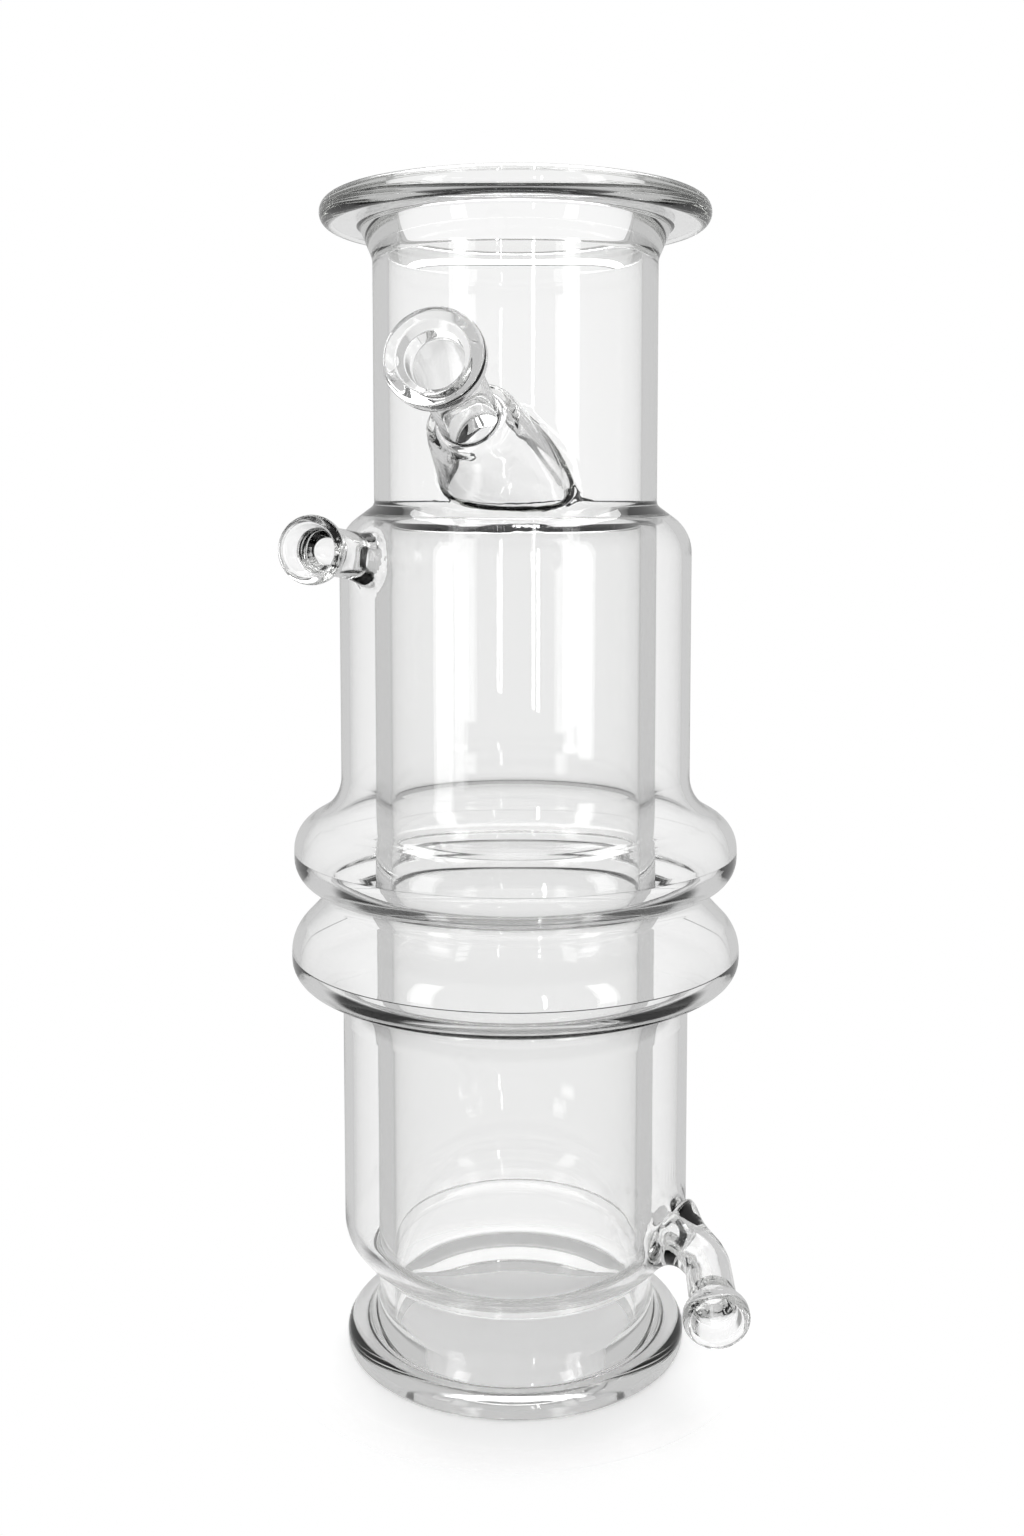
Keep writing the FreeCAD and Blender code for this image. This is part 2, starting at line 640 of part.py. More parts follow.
def main():
    """Build the document, check it and write the part."""
    doc = FreeCAD.newDocument("glass_reactor")
    body = build(doc)
    doc.recompute()
    check(doc, body)
    os.makedirs("parts", exist_ok=True)
    body.Shape.exportStep(f"parts/{body.Label}.step")
    box = body.Shape.BoundBox
    print(f"{body.Label}: {body.Shape.Volume / 1000.0:.1f} cubic centimetres of glass, "
          f"{box.XLength:.1f} x {box.YLength:.1f} x {box.ZLength:.1f}")


main()
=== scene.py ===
"""Looks of a jacketed glass reactor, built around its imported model.

The whole vessel is one piece of clear borosilicate glass: a tube with a flange
at each end, a heating jacket with two folds in its wall, an inclined feed
nozzle and two bent jacket ports, all fused together. Its skin is turned, the
nozzle and ports are drawn out along bent lines and set on it, the hollows are
opened, and last the seams are melted soft.

Sizes are millimetres and angles degrees, and every mesh is scaled to metres
when it becomes an object.
"""

import heapq
import logging
import math
from dataclasses import dataclass
from enum import Enum
from typing import Callable, Iterable, Sequence

import bmesh
import bpy
from mathutils import Euler, Matrix, Vector


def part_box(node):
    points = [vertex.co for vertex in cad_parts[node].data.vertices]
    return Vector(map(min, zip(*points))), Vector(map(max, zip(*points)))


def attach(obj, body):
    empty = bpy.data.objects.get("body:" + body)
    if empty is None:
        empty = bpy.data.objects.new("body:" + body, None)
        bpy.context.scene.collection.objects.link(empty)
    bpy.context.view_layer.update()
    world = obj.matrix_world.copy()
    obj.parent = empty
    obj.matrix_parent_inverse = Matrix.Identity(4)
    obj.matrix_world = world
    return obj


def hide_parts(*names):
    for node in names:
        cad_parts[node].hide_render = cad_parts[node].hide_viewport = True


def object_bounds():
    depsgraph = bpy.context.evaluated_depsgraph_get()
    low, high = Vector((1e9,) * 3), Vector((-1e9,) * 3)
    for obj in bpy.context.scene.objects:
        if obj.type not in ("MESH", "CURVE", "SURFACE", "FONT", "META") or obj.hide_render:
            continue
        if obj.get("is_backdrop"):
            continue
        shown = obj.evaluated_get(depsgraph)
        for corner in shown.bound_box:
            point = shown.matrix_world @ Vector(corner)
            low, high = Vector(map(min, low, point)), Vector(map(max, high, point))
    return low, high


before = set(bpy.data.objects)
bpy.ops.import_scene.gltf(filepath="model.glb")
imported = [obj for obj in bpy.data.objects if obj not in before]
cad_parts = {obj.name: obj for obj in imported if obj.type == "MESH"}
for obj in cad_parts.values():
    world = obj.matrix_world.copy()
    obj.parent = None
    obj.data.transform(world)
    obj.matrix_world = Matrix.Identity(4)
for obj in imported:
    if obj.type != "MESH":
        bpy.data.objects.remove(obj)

LOG = logging.getLogger("glass_reactor")
MM = 0.001
# Millimetres within which vertices are one, and below which an edge is waste.
MERGE, SLIVER, JOINT_SLIVER = 0.002, 0.001, 0.08
BRANCH_STEP = 2.8  # longest face along a branch, in millimetres


# Outlines


@dataclass(frozen=True)
class Corner:
    """A corner of a turned outline: its place along and across, and its rounding."""

    across: float
    along: float
    rounding: float = 0.0

    @property
    def point(self) -> Vector:
        """The corner as a flat vector."""
        return Vector((self.across, self.along))


@dataclass(frozen=True)
class Outline:
    """An open outline of straight stretches and round corners.

    Attributes:
        corners: its corners from end to end.
        arc_step: widest angle between points of a round corner.
        arc_chord: longest distance between them.
        longest: longest distance between points of a straight stretch.
        fine: heights between which that distance is fine_step, where seams lie.
        fine_step: the shorter distance.
        least_share: shortest part of a stretch that is worth a point of its own.
        least_turn: angle below which a corner counts as straight.
    """

    corners: tuple[Corner, ...]
    arc_step: float = 11.0
    arc_chord: float = 1.85
    longest: float = 24.0
    fine: tuple[tuple[float, float], ...] = ()
    fine_step: float = 2.6
    least_share: float = 0.02
    least_turn: float = 0.5

    def points(self) -> list[Vector]:
        """Points of the outline, close together on the round stretches.

        Returns:
            Flat vectors from the first corner to the last.
        """
        bare: list[Vector] = [self.corners[0].point]
        for before, corner, after in zip(self.corners, self.corners[1:], self.corners[2:]):
            bare += self._arc(before.point, corner, after.point)
        bare.append(self.corners[-1].point)
        full: list[Vector] = [bare[0]]
        for start, end in zip(bare, bare[1:]):
            full += self._stretch(start, end)
        return full

    def _stretch(self, start: Vector, end: Vector) -> list[Vector]:
        """Points after the start of a straight stretch, close together where it is fine."""
        stops = [0.0, 1.0]
        rise = end.y - start.y
        if abs(rise) > self.fine_step:
            for limit in (height for stretch in self.fine for height in stretch):
                share = (limit - start.y) / rise
                if self.least_share < share < 1.0 - self.least_share:
                    stops.append(share)
        stops.sort()
        found: list[Vector] = []
        for low, high in zip(stops, stops[1:]):
            middle = start.lerp(end, (low + high) / 2.0).y
            is_fine = any(bottom < middle < top for bottom, top in self.fine)
            step = self.fine_step if is_fine else self.longest
            pieces = max(1, math.ceil((high - low) * (end - start).length / step))
            found += [start.lerp(end, low + (high - low) * number / pieces)
                      for number in range(1, pieces + 1)]
        return found

    def _arc(self, before: Vector, corner: Corner, after: Vector) -> list[Vector]:
        """Points of one round corner, or the corner itself if it is sharp."""
        place = corner.point
        if corner.rounding <= 0.0:
            return [place]
        back, ahead = (before - place).normalized(), (after - place).normalized()
        turn = math.pi - back.angle(ahead)
        if turn < math.radians(self.least_turn):
            return [place]
        reach = corner.rounding * math.tan(turn / 2.0)
        centre = place + (back + ahead).normalized() * (corner.rounding / math.cos(turn / 2.0))
        first, last = place + back * reach - centre, place + ahead * reach - centre
        chords = math.ceil(corner.rounding * turn / self.arc_chord)
        count = max(2, chords, math.ceil(math.degrees(turn) / self.arc_step))
        way = math.copysign(turn / count, first.x * last.y - first.y * last.x)
        return [centre + Matrix.Rotation(way * number, 2) @ first for number in range(count + 1)]

    def inset(self, wall: float, pooling: float, end_across: float, end_rounding: float) -> "Outline":
        """The same outline moved inwards by a wall, closed along a straight side.

        Args:
            wall: distance between the two outlines, which lies to the left.
            pooling: how much rounder the inside of a bulging corner is.
            end_across: where the straight side lies.
            end_rounding: rounding of the two closed ends.

        Returns:
            The closed outline of the space behind the wall.
        """
        places = [corner.point for corner in self.corners]
        inner: list[Corner] = []
        for number in range(1, len(places) - 1):
            before = (places[number] - places[number - 1]).normalized()
            after = (places[number + 1] - places[number]).normalized()
            normals = [Vector((-way.y, way.x)) for way in (before, after)]
            middle = (normals[0] + normals[1]).normalized()
            moved = places[number] + middle * (wall / middle.dot(normals[0]))
            bulges = before.x * after.y - before.y * after.x > 0.0
            rounding = self.corners[number].rounding + (pooling - wall if bulges else wall)
            inner.append(Corner(moved.x, moved.y, rounding))
        ends: list[Corner] = []
        limits = ((inner[0], places[0], places[1]), (inner[-1], places[-1], places[-2]))
        for near, far, corner in limits:
            slope = (far - corner).normalized()
            place = near.point + slope * ((end_across - near.across) / slope.x)
            ends.append(Corner(place.x, place.y, end_rounding))
        half = (ends[0].along + ends[1].along) / 2.0
        middle_point = Corner(end_across, half)
        return Outline((middle_point, ends[0], *inner, ends[1], middle_point), fine=self.fine)


# Meshes


class Joining(Enum):
    """How one closed mesh is worked into another."""

    ADD = "UNION"
    CUT = "DIFFERENCE"


def turned(points: Sequence[Vector], segments: int) -> bmesh.types.BMesh:
    """Closed mesh of an outline turned once round the vessel's axis.

    Args:
        points: flat vectors, across and up.
        segments: faces round the axis.

    Returns:
        A mesh in millimetres, with its faces outwards.
    """
    mesh = bmesh.new()
    line = [mesh.verts.new((point.x, 0.0, point.y)) for point in points]
    edges = [mesh.edges.new(pair) for pair in zip(line, line[1:])]
    bmesh.ops.spin(mesh, geom=[*line, *edges], cent=(0, 0, 0), axis=(0, 0, 1),
                   angle=math.tau, steps=segments, use_merge=True, use_duplicate=False)
    return closed(mesh)


def drawn(line: "Bend", points: Sequence[Vector], segments: int,
          underside: "Underside | None" = None) -> bmesh.types.BMesh:
    """Closed mesh of an outline drawn round along a bent centre line.

    Args:
        line: the centre line.
        points: flat vectors, radius and distance along the line.
        segments: faces round the line.
        underside: how far the form reaches down, if it is not round.

    Returns:
        A mesh in millimetres, with its faces outwards.
    """
    mesh = bmesh.new()
    rings = len(points) - 1
    bmesh.ops.create_grid(mesh, x_segments=rings, y_segments=segments, size=0.5)
    upright = Matrix.Rotation(math.radians(-line.roll), 4, "X")
    places = [(line.station(point.y) @ upright, point) for point in points]
    for vert in mesh.verts:
        place, point = places[round((vert.co.x + 0.5) * rings)]
        angle = (vert.co.y + 0.5) * math.tau
        across, up = point.x * math.cos(angle), point.x * math.sin(angle)
        if underside and up < 0.0:
            up *= min(1.0, underside.at(point.y) / point.x)
        vert.co = place @ Vector((0.0, across, up))
    return closed(mesh)


def closed(mesh: bmesh.types.BMesh) -> bmesh.types.BMesh:
    """Merge a mesh's seam and poles and turn its faces outwards."""
    bmesh.ops.remove_doubles(mesh, verts=mesh.verts, dist=MERGE)
    bmesh.ops.dissolve_degenerate(mesh, edges=mesh.edges, dist=SLIVER)
    bmesh.ops.recalc_face_normals(mesh, faces=mesh.faces)
    return mesh


def as_object(mesh: bmesh.types.BMesh, name: str) -> bpy.types.Object:
    """Put a mesh into a new object of the scene."""
    data = bpy.data.meshes.new(name)
    mesh.to_mesh(data)
    mesh.free()
    item = bpy.data.objects.new(name, data)
    bpy.context.scene.collection.objects.link(item)
    return item


def joined(base: bmesh.types.BMesh, tool: bmesh.types.BMesh, way: Joining) -> bmesh.types.BMesh:
    """Work one closed mesh into another.

    Args:
        base: the mesh that is kept.
        tool: the mesh that is added to it or cut from it.
        way: which of the two.

    Returns:
        The result as a new mesh.
    """
    first, second = as_object(base, "work"), as_object(tool, "tool")
    step = first.modifiers.new("joining", "BOOLEAN")
    step.operation = way.value
    step.solver = "MANIFOLD"
    step.object = second
    seen = bpy.context.evaluated_depsgraph_get()
    result = bmesh.new()
    result.from_mesh(first.evaluated_get(seen).to_mesh())
    for item in (first, second):
        data = item.data
        bpy.data.objects.remove(item)
        bpy.data.meshes.remove(data)
    bmesh.ops.dissolve_degenerate(result, edges=result.edges, dist=JOINT_SLIVER)
    return result


@dataclass(frozen=True)
class Seam:
    """A seam where two forms meet, which is melted into a soft fillet.

    Attributes:
        centre: middle of the seam.
        span: how far from that middle the seam is looked for.
        reach: how far the melting spreads over the glass on each side.
        passes: how often the glass is evened out.
        grain: length of the mesh's edges along the seam.
        sharpest: angle between faces, past which an edge is part of the seam.
        rounds: how often the mesh is refined first.
        shells: shares of the reach that are evened out in turn, so that the
            middle of the seam becomes the softest.
        coarse: an edge this many times the grain is divided.
        margin: how many times the reach is refined.
        softness: how far a vertex moves to the middle of its neighbours.
    """

    centre: Vector
    span: float
    reach: float
    passes: int
    grain: float = 1.3
    sharpest: float = 14.0
    rounds: int = 3
    shells: tuple[float, ...] = (0.25, 0.5, 0.75, 1.0)
    coarse: float = 1.4
    margin: float = 1.5
    softness: float = 0.5

    def melt(self, mesh: bmesh.types.BMesh) -> None:
        """Round the seam by evening out a fine mesh along it.

        Args:
            mesh: the mesh in millimetres, changed in place.
        """
        for _ in range(self.rounds):
            self._refine(mesh)
        spread = self._spread(mesh)
        for _ in range(self.passes):
            for share in self.shells:
                soft = [vert for vert, distance in spread.items() if distance < self.reach * share]
                bmesh.ops.smooth_vert(mesh, verts=soft, factor=self.softness,
                                      use_axis_x=True, use_axis_y=True, use_axis_z=True)

    def _edges(self, mesh: bmesh.types.BMesh) -> list[bmesh.types.BMEdge]:
        """The sharp edges of the seam."""
        limit = math.radians(self.sharpest)
        return [edge for edge in mesh.edges
                if (edge.verts[0].co - self.centre).length < self.span
                and edge.is_manifold and abs(edge.calc_face_angle(0.0)) > limit]

    def _spread(self, mesh: bmesh.types.BMesh,
                further: float = 1.0) -> dict[bmesh.types.BMVert, float]:
        """Vertices near the seam, with their way to it over the glass.

        Args:
            mesh: the mesh.
            further: how many times the reach is searched.

        Returns:
            The distance of each vertex within that reach.
        """
        limit = self.reach * further
        nearest = {vert: 0.0 for edge in self._edges(mesh) for vert in edge.verts}
        waiting = [(0.0, vert.index, vert) for vert in nearest]
        heapq.heapify(waiting)
        while waiting:
            way, _, vert = heapq.heappop(waiting)
            if way > nearest[vert]:
                continue
            for edge in vert.link_edges:
                other = edge.other_vert(vert)
                longer = way + edge.calc_length()
                if longer < limit and longer < nearest.get(other, limit):
                    nearest[other] = longer
                    heapq.heappush(waiting, (longer, other.index, other))
        return nearest

    def _refine(self, mesh: bmesh.types.BMesh) -> None:
        """Divide the long edges near the seam once."""
        mesh.verts.index_update()
        near = self._spread(mesh, self.margin)
        faces = dict.fromkeys(face for vert in near for face in vert.link_faces
                              if len(face.verts) > 3)
        bmesh.ops.triangulate(mesh, faces=list(faces), quad_method="SHORT_EDGE")
        edges = dict.fromkeys(edge for vert in near for edge in vert.link_edges)
        coarse = [edge for edge in edges if edge.calc_length() > self.grain * self.coarse]
        bmesh.ops.subdivide_edges(mesh, edges=coarse, cuts=1)
        mesh.verts.index_update()
        bmesh.ops.triangulate(mesh, faces=[face for face in mesh.faces if len(face.verts) > 4])


# The vessel


@dataclass(frozen=True)
class Jacket:
    """Heating jacket with its two folds, as corners of its outer skin.

    A reach is measured from the plain jacket outwards. The heights of a fold
    are the steps to its lower corner, to its upper one and to what follows.

    Attributes:
        lower_drop: height of the sloping lower end.
        upper_drop: height of the sloping upper end.
        pooling: how much glass pools inside a bulging corner.
    """

    radius: float = 69.8
    wall: float = 3.7
    start: float = 33.3
    end: float = 340.3
    lower_drop: float = 11.5
    upper_drop: float = 10.2
    shoulder_rounding: float = 17.0
    seal_rounding: float = 3.0
    space_end_rounding: float = 1.8
    pooling: float = 2.4
    bellows_start: float = 146.7
    lower_reach: float = 20.2
    upper_reach: float = 18.9
    waist_reach: float = 2.9
    lower_heights: tuple[float, float, float] = (6.4, 16.2, 18.0)
    upper_heights: tuple[float, float, float] = (4.6, 20.0, 10.9)
    lower_flare_rounding: float = 15.0
    lower_base_rounding: float = 10.0
    lower_top_rounding: float = 16.0
    waist_rounding: float = 2.7
    upper_base_rounding: float = 12.0
    upper_top_rounding: float = 13.6
    upper_flare_rounding: float = 17.0

    def skin(self, tube: float) -> tuple[Corner, ...]:
        """Corners of the jacket's skin from the lower seal to the upper one.

        Args:
            tube: outside radius of the tube that the jacket is fused to.
        """
        return (
            Corner(tube, self.start, self.seal_rounding),
            Corner(self.radius, self.start + self.lower_drop, self.shoulder_rounding),
            *self._bellows(),
            Corner(self.radius, self.end - self.upper_drop, self.shoulder_rounding),
            Corner(tube, self.end, self.seal_rounding),
        )

    def _bellows(self) -> Iterable[Corner]:
        """Corners of the two folds from the bottom up."""
        steps = (
            (0.0, 0.0, self.lower_flare_rounding),
            (self.lower_heights[0], self.lower_reach, self.lower_base_rounding),
            (self.lower_heights[1], self.lower_reach, self.lower_top_rounding),
            (self.lower_heights[2], self.waist_reach, self.waist_rounding),
            (self.upper_heights[0], self.upper_reach, self.upper_base_rounding),
            (self.upper_heights[1], self.upper_reach, self.upper_top_rounding),
            (self.upper_heights[2], 0.0, self.upper_flare_rounding),
        )
        height = self.bellows_start
        for rise, reach, rounding in steps:
            height += rise
            yield Corner(self.radius + reach, height, rounding)

    def space(self, tube: float, fine: tuple[tuple[float, float], ...]) -> Outline:
        """Outline of the closed space between jacket and tube."""
        outline = Outline(self.skin(tube), fine=fine)
        return outline.inset(self.wall, self.pooling, tube, self.space_end_rounding)


@dataclass(frozen=True)
class Flange:
    """Flat flange at one end of the tube, with its conical neck."""

    radius: float
    thickness: float
    face_rounding: float
    back_rounding: float
    collar_radius: float = 61.0
    collar_length: float = 12.0
    collar_rounding: float = 2.0
    neck_rounding: float = 8.0

    def corners(self, tube: float) -> list[Corner]:
        """Corners from the axis over the face, rim and neck to the tube.

        Args:
            tube: outside radius of the tube.

        Returns:
            Corners measured from the flange's face.
        """
        return [
            Corner(0.0, 0.0),
            Corner(self.radius, 0.0, self.face_rounding),
            Corner(self.radius, self.thickness, self.back_rounding),
            Corner(self.collar_radius, self.thickness, self.collar_rounding),
            Corner(tube, self.thickness + self.collar_length, self.neck_rounding),
        ]


@dataclass(frozen=True)
class Shell:
    """The turned glass: tube, flanges and jacket round one axis.

    Attributes:
        height: face to face.
        bore: inside radius of the tube.
        tube: outside radius of the tube.
        bore_edge: polished rounding where the bore meets a face.
        edge_slope: slope of the dished face round the bore, in degrees.
        edge_start: its depth at the bore.
        edge_slope_reach: how far the cutting form is carried past the bore.
        segments: faces round the axis.
        skin_fine: heights of the skin with a fine mesh, where branches join it.
        space_fine: the same for the space behind the jacket.
        bore_fine: the same for the bore.
    """

    height: float
    bore: float = 50.0
    tube: float = 56.0
    bore_edge: float = 1.5
    edge_slope: float = 10.0
    edge_start: float = 0.15
    edge_slope_reach: float = 8.0
    segments: int = 168
    skin_fine: tuple[tuple[float, float], ...] = ((38.0, 80.0), (304.0, 378.0))
    space_fine: tuple[tuple[float, float], ...] = ((42.0, 76.0), (308.0, 334.0))
    bore_fine: tuple[tuple[float, float], ...] = ((335.0, 378.0),)
    jacket: Jacket = Jacket()
    base: Flange = Flange(radius=69.0, thickness=9.0, face_rounding=1.8, back_rounding=5.2,
                          collar_length=8.5)
    top: Flange = Flange(radius=76.5, thickness=10.3, face_rounding=5.0, back_rounding=4.9)

    def blank(self) -> bmesh.types.BMesh:
        """The outer form, solid up to the axis."""
        top = [Corner(corner.across, self.height - corner.along, corner.rounding)
               for corner in reversed(self.top.corners(self.tube))]
        corners = (*self.base.corners(self.tube), *self.jacket.skin(self.tube), *top)
        return turned(Outline(corners, fine=self.skin_fine).points(), self.segments)

    def bore_tool(self) -> bmesh.types.BMesh:
        """What the bore takes away, past both faces and with their polished edges."""
        rise = self.edge_slope_reach * math.tan(math.radians(self.edge_slope))
        wide = self.bore + self.edge_slope_reach
        top = self.height - self.edge_start
        corners = (
            Corner(0.0, self.edge_start - rise),
            Corner(wide, self.edge_start - rise),
            Corner(self.bore, self.edge_start, self.bore_edge),
            Corner(self.bore, top, self.bore_edge),
            Corner(wide, top + rise),
            Corner(0.0, top + rise),
        )
        return turned(Outline(corners, fine=self.bore_fine).points(), self.segments)

    def space_tool(self) -> bmesh.types.BMesh:
        """What the space behind the jacket takes away."""
        return turned(self.jacket.space(self.tube, self.space_fine).points(), self.segments)


@dataclass(frozen=True)
class Bend:
    """Centre line of a branch: a straight run, one bend and a straight tail.

    Attributes:
        skin: radius of the skin that it starts from.
        around: place of its foot round the vessel, from the front.
        height: height of its foot.
        heading: compass direction of its run, from the front.
        rise: slope of its run above the level.
        roll: turn of the plane in which it bends.
        run: foot to the start of the bend.
        bend: angle of the bend.
        bend_radius: radius of the bend.
        tail: end of the bend to the back of the cup.
    """

    skin: float
    around: float
    height: float
    heading: float
    rise: float
    roll: float
    run: float
    bend: float
    bend_radius: float
    tail: float

    @property
    def foot(self) -> Vector:
        """Where the centre line meets the skin."""
        angle = math.radians(self.around - 90.0)
        return Vector((self.skin * math.cos(angle), self.skin * math.sin(angle), self.height))

    @property
    def length(self) -> float:
        """Foot to the end of the tail."""
        return self.run + math.radians(self.bend) * self.bend_radius + self.tail

    def station(self, distance: float) -> Matrix:
        """Place and direction at a distance from the foot.

        Args:
            distance: along the centre line, less than nothing inside the vessel.

        Returns:
            A matrix whose X axis runs along the line.
        """
        turn = math.radians(self.bend)
        swept = min(max(0.0, (distance - self.run) / self.bend_radius), turn)
        before = min(distance, self.run)
        after = max(0.0, distance - self.run - turn * self.bend_radius)
        along = before + self.bend_radius * math.sin(swept) + after * math.cos(swept)
        aside = self.bend_radius * (1.0 - math.cos(swept)) + after * math.sin(swept)
        local = Matrix.Translation((along, aside, 0.0)) @ Matrix.Rotation(swept, 4, "Z")
        return Matrix.Translation(self.foot) @ self._turned() @ local

    def _turned(self) -> Matrix:
        """The foot's direction: heading, rise and roll in turn."""
        heading = Matrix.Rotation(math.radians(self.heading - 90.0), 4, "Z")
        rise = Matrix.Rotation(math.radians(-self.rise), 4, "Y")
        roll = Matrix.Rotation(math.radians(self.roll), 4, "X")
        return heading @ rise @ roll


@dataclass(frozen=True)
class Cup:
    """Cup at the end of a branch, with the neck that carries it.

    Attributes:
        neck: outside radius of the neck.
        neck_bore: inside radius of the neck.
        rim: outside radius of the cup.
        mouth: inside radius at the face.
        floor: inside radius at the bottom of the cup.
        depth: face to the start of the neck's bore.
        floor_depth: face to the bottom of the cup.
        length: back of the cup to its face.
        rim_depth: thickness of the rim.
        slope: slope of the polished face round the mouth, in degrees.
        slope_start: its depth at the mouth.
        slope_reach: how far the cutting form is carried past the mouth.
    """

    neck: float
    neck_bore: float
    rim: float
    mouth: float
    floor: float
    depth: float
    floor_depth: float
    length: float = 13.0
    rim_depth: float = 4.5
    rounding: float = 1.9
    back_rounding: float = 4.0
    floor_rounding: float = 4.5
    lip: float = 1.0
    throat_rounding: float = 2.0
    slope: float = 10.0
    slope_start: float = 0.12
    slope_reach: float = 3.0

    def outside(self, start: float) -> list[Corner]:
        """Corners of the cup's outside, from the neck over the rim to the axis.

        Args:
            start: distance from the branch's foot to the back of the cup.
        """
        face = start + self.length
        back = face - self.rim_depth
        return [
            Corner(self.neck, back - (self.rim - self.neck), self.back_rounding),
            Corner(self.rim, back, self.rounding),
            Corner(self.rim, face, self.rounding),
            Corner(0.0, face),
        ]

    def inside(self, start: float) -> list[Corner]:
        """Corners of the hollow, from outside the mouth down to the neck's bore.

        Args:
            start: distance from the branch's foot to the back of the cup.
        """
        face = start + self.length
        bottom = face - self.depth
        past = self.slope_reach * math.tan(math.radians(self.slope)) - self.slope_start
        return [
            Corner(0.0, face + past),
            Corner(self.mouth + self.slope_reach, face + past),
            Corner(self.mouth, face - self.slope_start, self.lip),
            Corner(self.floor, face - self.floor_depth, self.floor_rounding),
            Corner(self.neck_bore, bottom, self.throat_rounding),
        ]


@dataclass(frozen=True)
class Underside:
    """How far a form reaches down from its centre line, shallower towards the vessel.

    Attributes:
        outer: reach at the length and beyond.
        inner: reach at the foot.
        length: distance from the foot over which it deepens.
        furthest_in: share of that length inside the vessel, where it stops.
    """

    outer: float
    inner: float
    length: float
    furthest_in: float = -0.5

    def at(self, distance: float) -> float:
        """Reach at a distance from the foot."""
        share = min(1.0, max(self.furthest_in, distance / self.length))
        return self.inner + (self.outer - self.inner) * share


@dataclass(frozen=True)
class Branch:
    """A branch of the vessel: foot, neck, bend and cup.

    Attributes:
        line: its centre line.
        cup: its cup and neck.
        foot_corners: outer outline from the axis up to the neck.
        hollow_end: inner outline from the neck's bore to the axis.
        seam_span: how far from the foot the seam is looked for.
        seam_reach: how far its melting spreads.
        seam_passes: how often it is evened out.
        segments: faces round the line.
        underside: reach of the outer form downwards, if it is not round.
        hollow_underside: the same for the hollow.
    """

    line: Bend
    cup: Cup
    foot_corners: tuple[Corner, ...]
    hollow_end: tuple[Corner, ...]
    seam_span: float
    seam_reach: float
    seam_passes: int
    segments: int = 60
    underside: Underside | None = None
    hollow_underside: Underside | None = None

    def body(self) -> bmesh.types.BMesh:
        """The branch's outer form, solid, rooted in the vessel's wall."""
        corners = (*self.foot_corners, *self.cup.outside(self.line.length))
        outline = Outline(corners, longest=BRANCH_STEP)
        return drawn(self.line, outline.points(), self.segments, self.underside)

    def hollow(self) -> bmesh.types.BMesh:
        """The branch's hollow, from its mouth into the vessel."""
        corners = (*self.cup.inside(self.line.length), *self.hollow_end)
        outline = Outline(corners, longest=BRANCH_STEP)
        return drawn(self.line, outline.points(), self.segments, self.hollow_underside)

    def seam(self) -> Seam:
        """The seam at the branch's foot."""
        return Seam(self.line.foot, self.seam_span, self.seam_reach, self.seam_passes)


def feed_nozzle() -> Branch:
    """Inclined nozzle above the jacket: a wide blown boss that narrows to a neck."""
    root, boss_end, shoulder_wall = -16.0, 36.0, 3.4
    boss, boss_foot, cavity, cavity_foot = 16.4, 26.2, 13.0, 22.6
    boss_rounding, neck_rounding, bore_rounding, cavity_rounding = 3.6, 2.2, 1.0, 2.6
    cup = Cup(neck=10.9, neck_bore=9.2, rim=17.0, mouth=12.1, floor=9.8, depth=12.0,
              floor_depth=3.0, rim_depth=5.0, floor_rounding=1.6, throat_rounding=6.0)
    return Branch(
        line=Bend(skin=56.0, around=-6.1, height=350.2, heading=-18.2, rise=31.7, roll=-69.7,
                  run=53.9, bend=19.5, bend_radius=30.0, tail=5.6),
        cup=cup,
        foot_corners=(Corner(0.0, root), Corner(boss_foot, root),
                      Corner(boss, boss_end, boss_rounding),
                      Corner(cup.neck, boss_end, neck_rounding)),
        hollow_end=(Corner(cup.neck_bore, boss_end - shoulder_wall, bore_rounding),
                    Corner(cavity, boss_end - shoulder_wall, cavity_rounding),
                    Corner(cavity_foot, root), Corner(0.0, root)),
        seam_span=42.0, seam_reach=6.0, seam_passes=7, segments=72,
        underside=Underside(boss, 12.0, boss_end),
        hollow_underside=Underside(cavity, 8.6, boss_end),
    )


def jacket_port(line: Bend, foot_radius: float, foot_length: float, foot_rounding: float,
                seam_span: float, seam_reach: float, seam_passes: int) -> Branch:
    """Bent port that opens into the jacket.

    Args:
        line: its centre line.
        foot_radius: flared foot where it starts inside the wall.
        foot_length: length of the flare outside the jacket.
        foot_rounding: flare to neck.
        seam_span: how far the seam reaches from the foot.
        seam_reach: how far its melting spreads.
        seam_passes: how often it is evened out.

    Returns:
        The port, whose hollow reaches through the wall and whose body stops in it.
    """
    hollow_root, body_root = -7.0, -2.5
    cup = Cup(neck=8.9, neck_bore=4.9, rim=12.4, mouth=9.3, floor=7.6, depth=17.0,
              floor_depth=11.5, rim_depth=4.0, floor_rounding=7.0, throat_rounding=1.2)
    return Branch(
        line=line, cup=cup,
        foot_corners=(Corner(0.0, body_root), Corner(foot_radius, body_root),
                      Corner(cup.neck, foot_length, foot_rounding)),
        hollow_end=(Corner(cup.neck_bore, hollow_root), Corner(0.0, hollow_root)),
        seam_span=seam_span, seam_reach=seam_reach, seam_passes=seam_passes,
    )


def upper_port() -> Branch:
    """Port on the left, just below the jacket's upper shoulder."""
    line = Bend(skin=69.8, around=-52.5, height=320.2, heading=-52.5, rise=12.0, roll=-10.3,
                run=6.9, bend=38.4, bend_radius=19.4, tail=5.6)
    return jacket_port(line, foot_radius=10.4, foot_length=5.0, foot_rounding=8.0,
                       seam_span=15.0, seam_reach=3.0, seam_passes=5)


